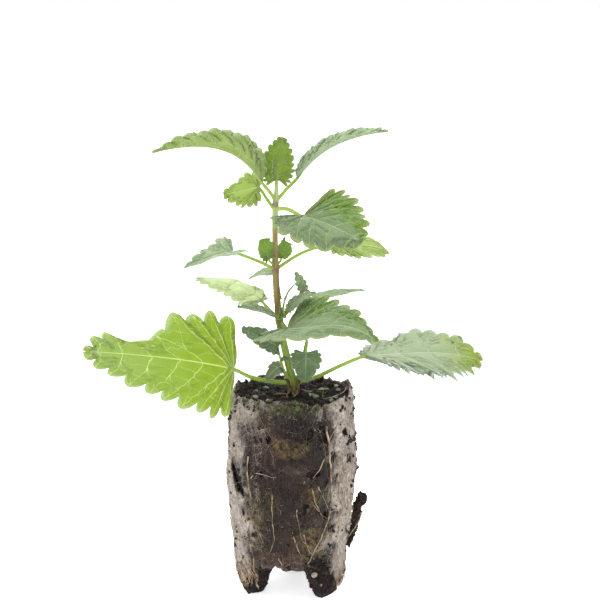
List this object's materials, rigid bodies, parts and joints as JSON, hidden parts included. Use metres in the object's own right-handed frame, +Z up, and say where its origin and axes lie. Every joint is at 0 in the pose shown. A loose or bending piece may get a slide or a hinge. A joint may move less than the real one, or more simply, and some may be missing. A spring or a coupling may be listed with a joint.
{
  "type": "young catmint plant rooted in a paper-sleeved plug of growing mix",
  "caption": "Young catmint plant with toothed leaves on a square stem, rooted in an upright plug of dark growing mix in a worn, root-grown paper sleeve.",
  "frame": {"origin": "on the surface that the plug stands on, under the middle of the plant's spread", "axes": "+Z up the plant, +X to the right and -Y towards the viewer in the front view"},
  "size_m": [0.1312, 0.0619, 0.1534],
  "materials": {
    "growing_mix": "matte, crumbly and damp",
    "sleeve_paper": "matte, stained and fibrous",
    "root": "satin",
    "stem": "satin with short hairs",
    "leaf": "soft satin with short hairs",
    "young_leaf": "soft satin with short hairs"
  },
  "bodies": {
    "root": {"soil_plug": "growing_mix", "paper_sleeve": "sleeve_paper", "soil_clump": "growing_mix", "root_long": "root", "root_right_fork": "root", "root_right_low": "root", "root_left": "root", "root_left_loop": "root", "root_side": "root", "root_back": "root", "root_back_low": "root", "stem": "stem", "leaf_base_left": "leaf", "leaf_base_right": "leaf", "leaf_first_front": "leaf", "leaf_first_back": "leaf", "leaf_second_left": "leaf", "leaf_second_right": "leaf", "leaf_third_front": "leaf", "leaf_third_back": "leaf", "leaf_fourth_left": "leaf", "leaf_fourth_right": "leaf", "shoot_base_left": "young_leaf", "shoot_base_right": "young_leaf", "shoot_first_left": "young_leaf", "shoot_first_right": "young_leaf", "shoot_first_back": "young_leaf", "shoot_first_front": "young_leaf", "shoot_second_left": "young_leaf", "shoot_second_right": "young_leaf", "tip_leaves": "young_leaf"}
  },
  "joints": []
}
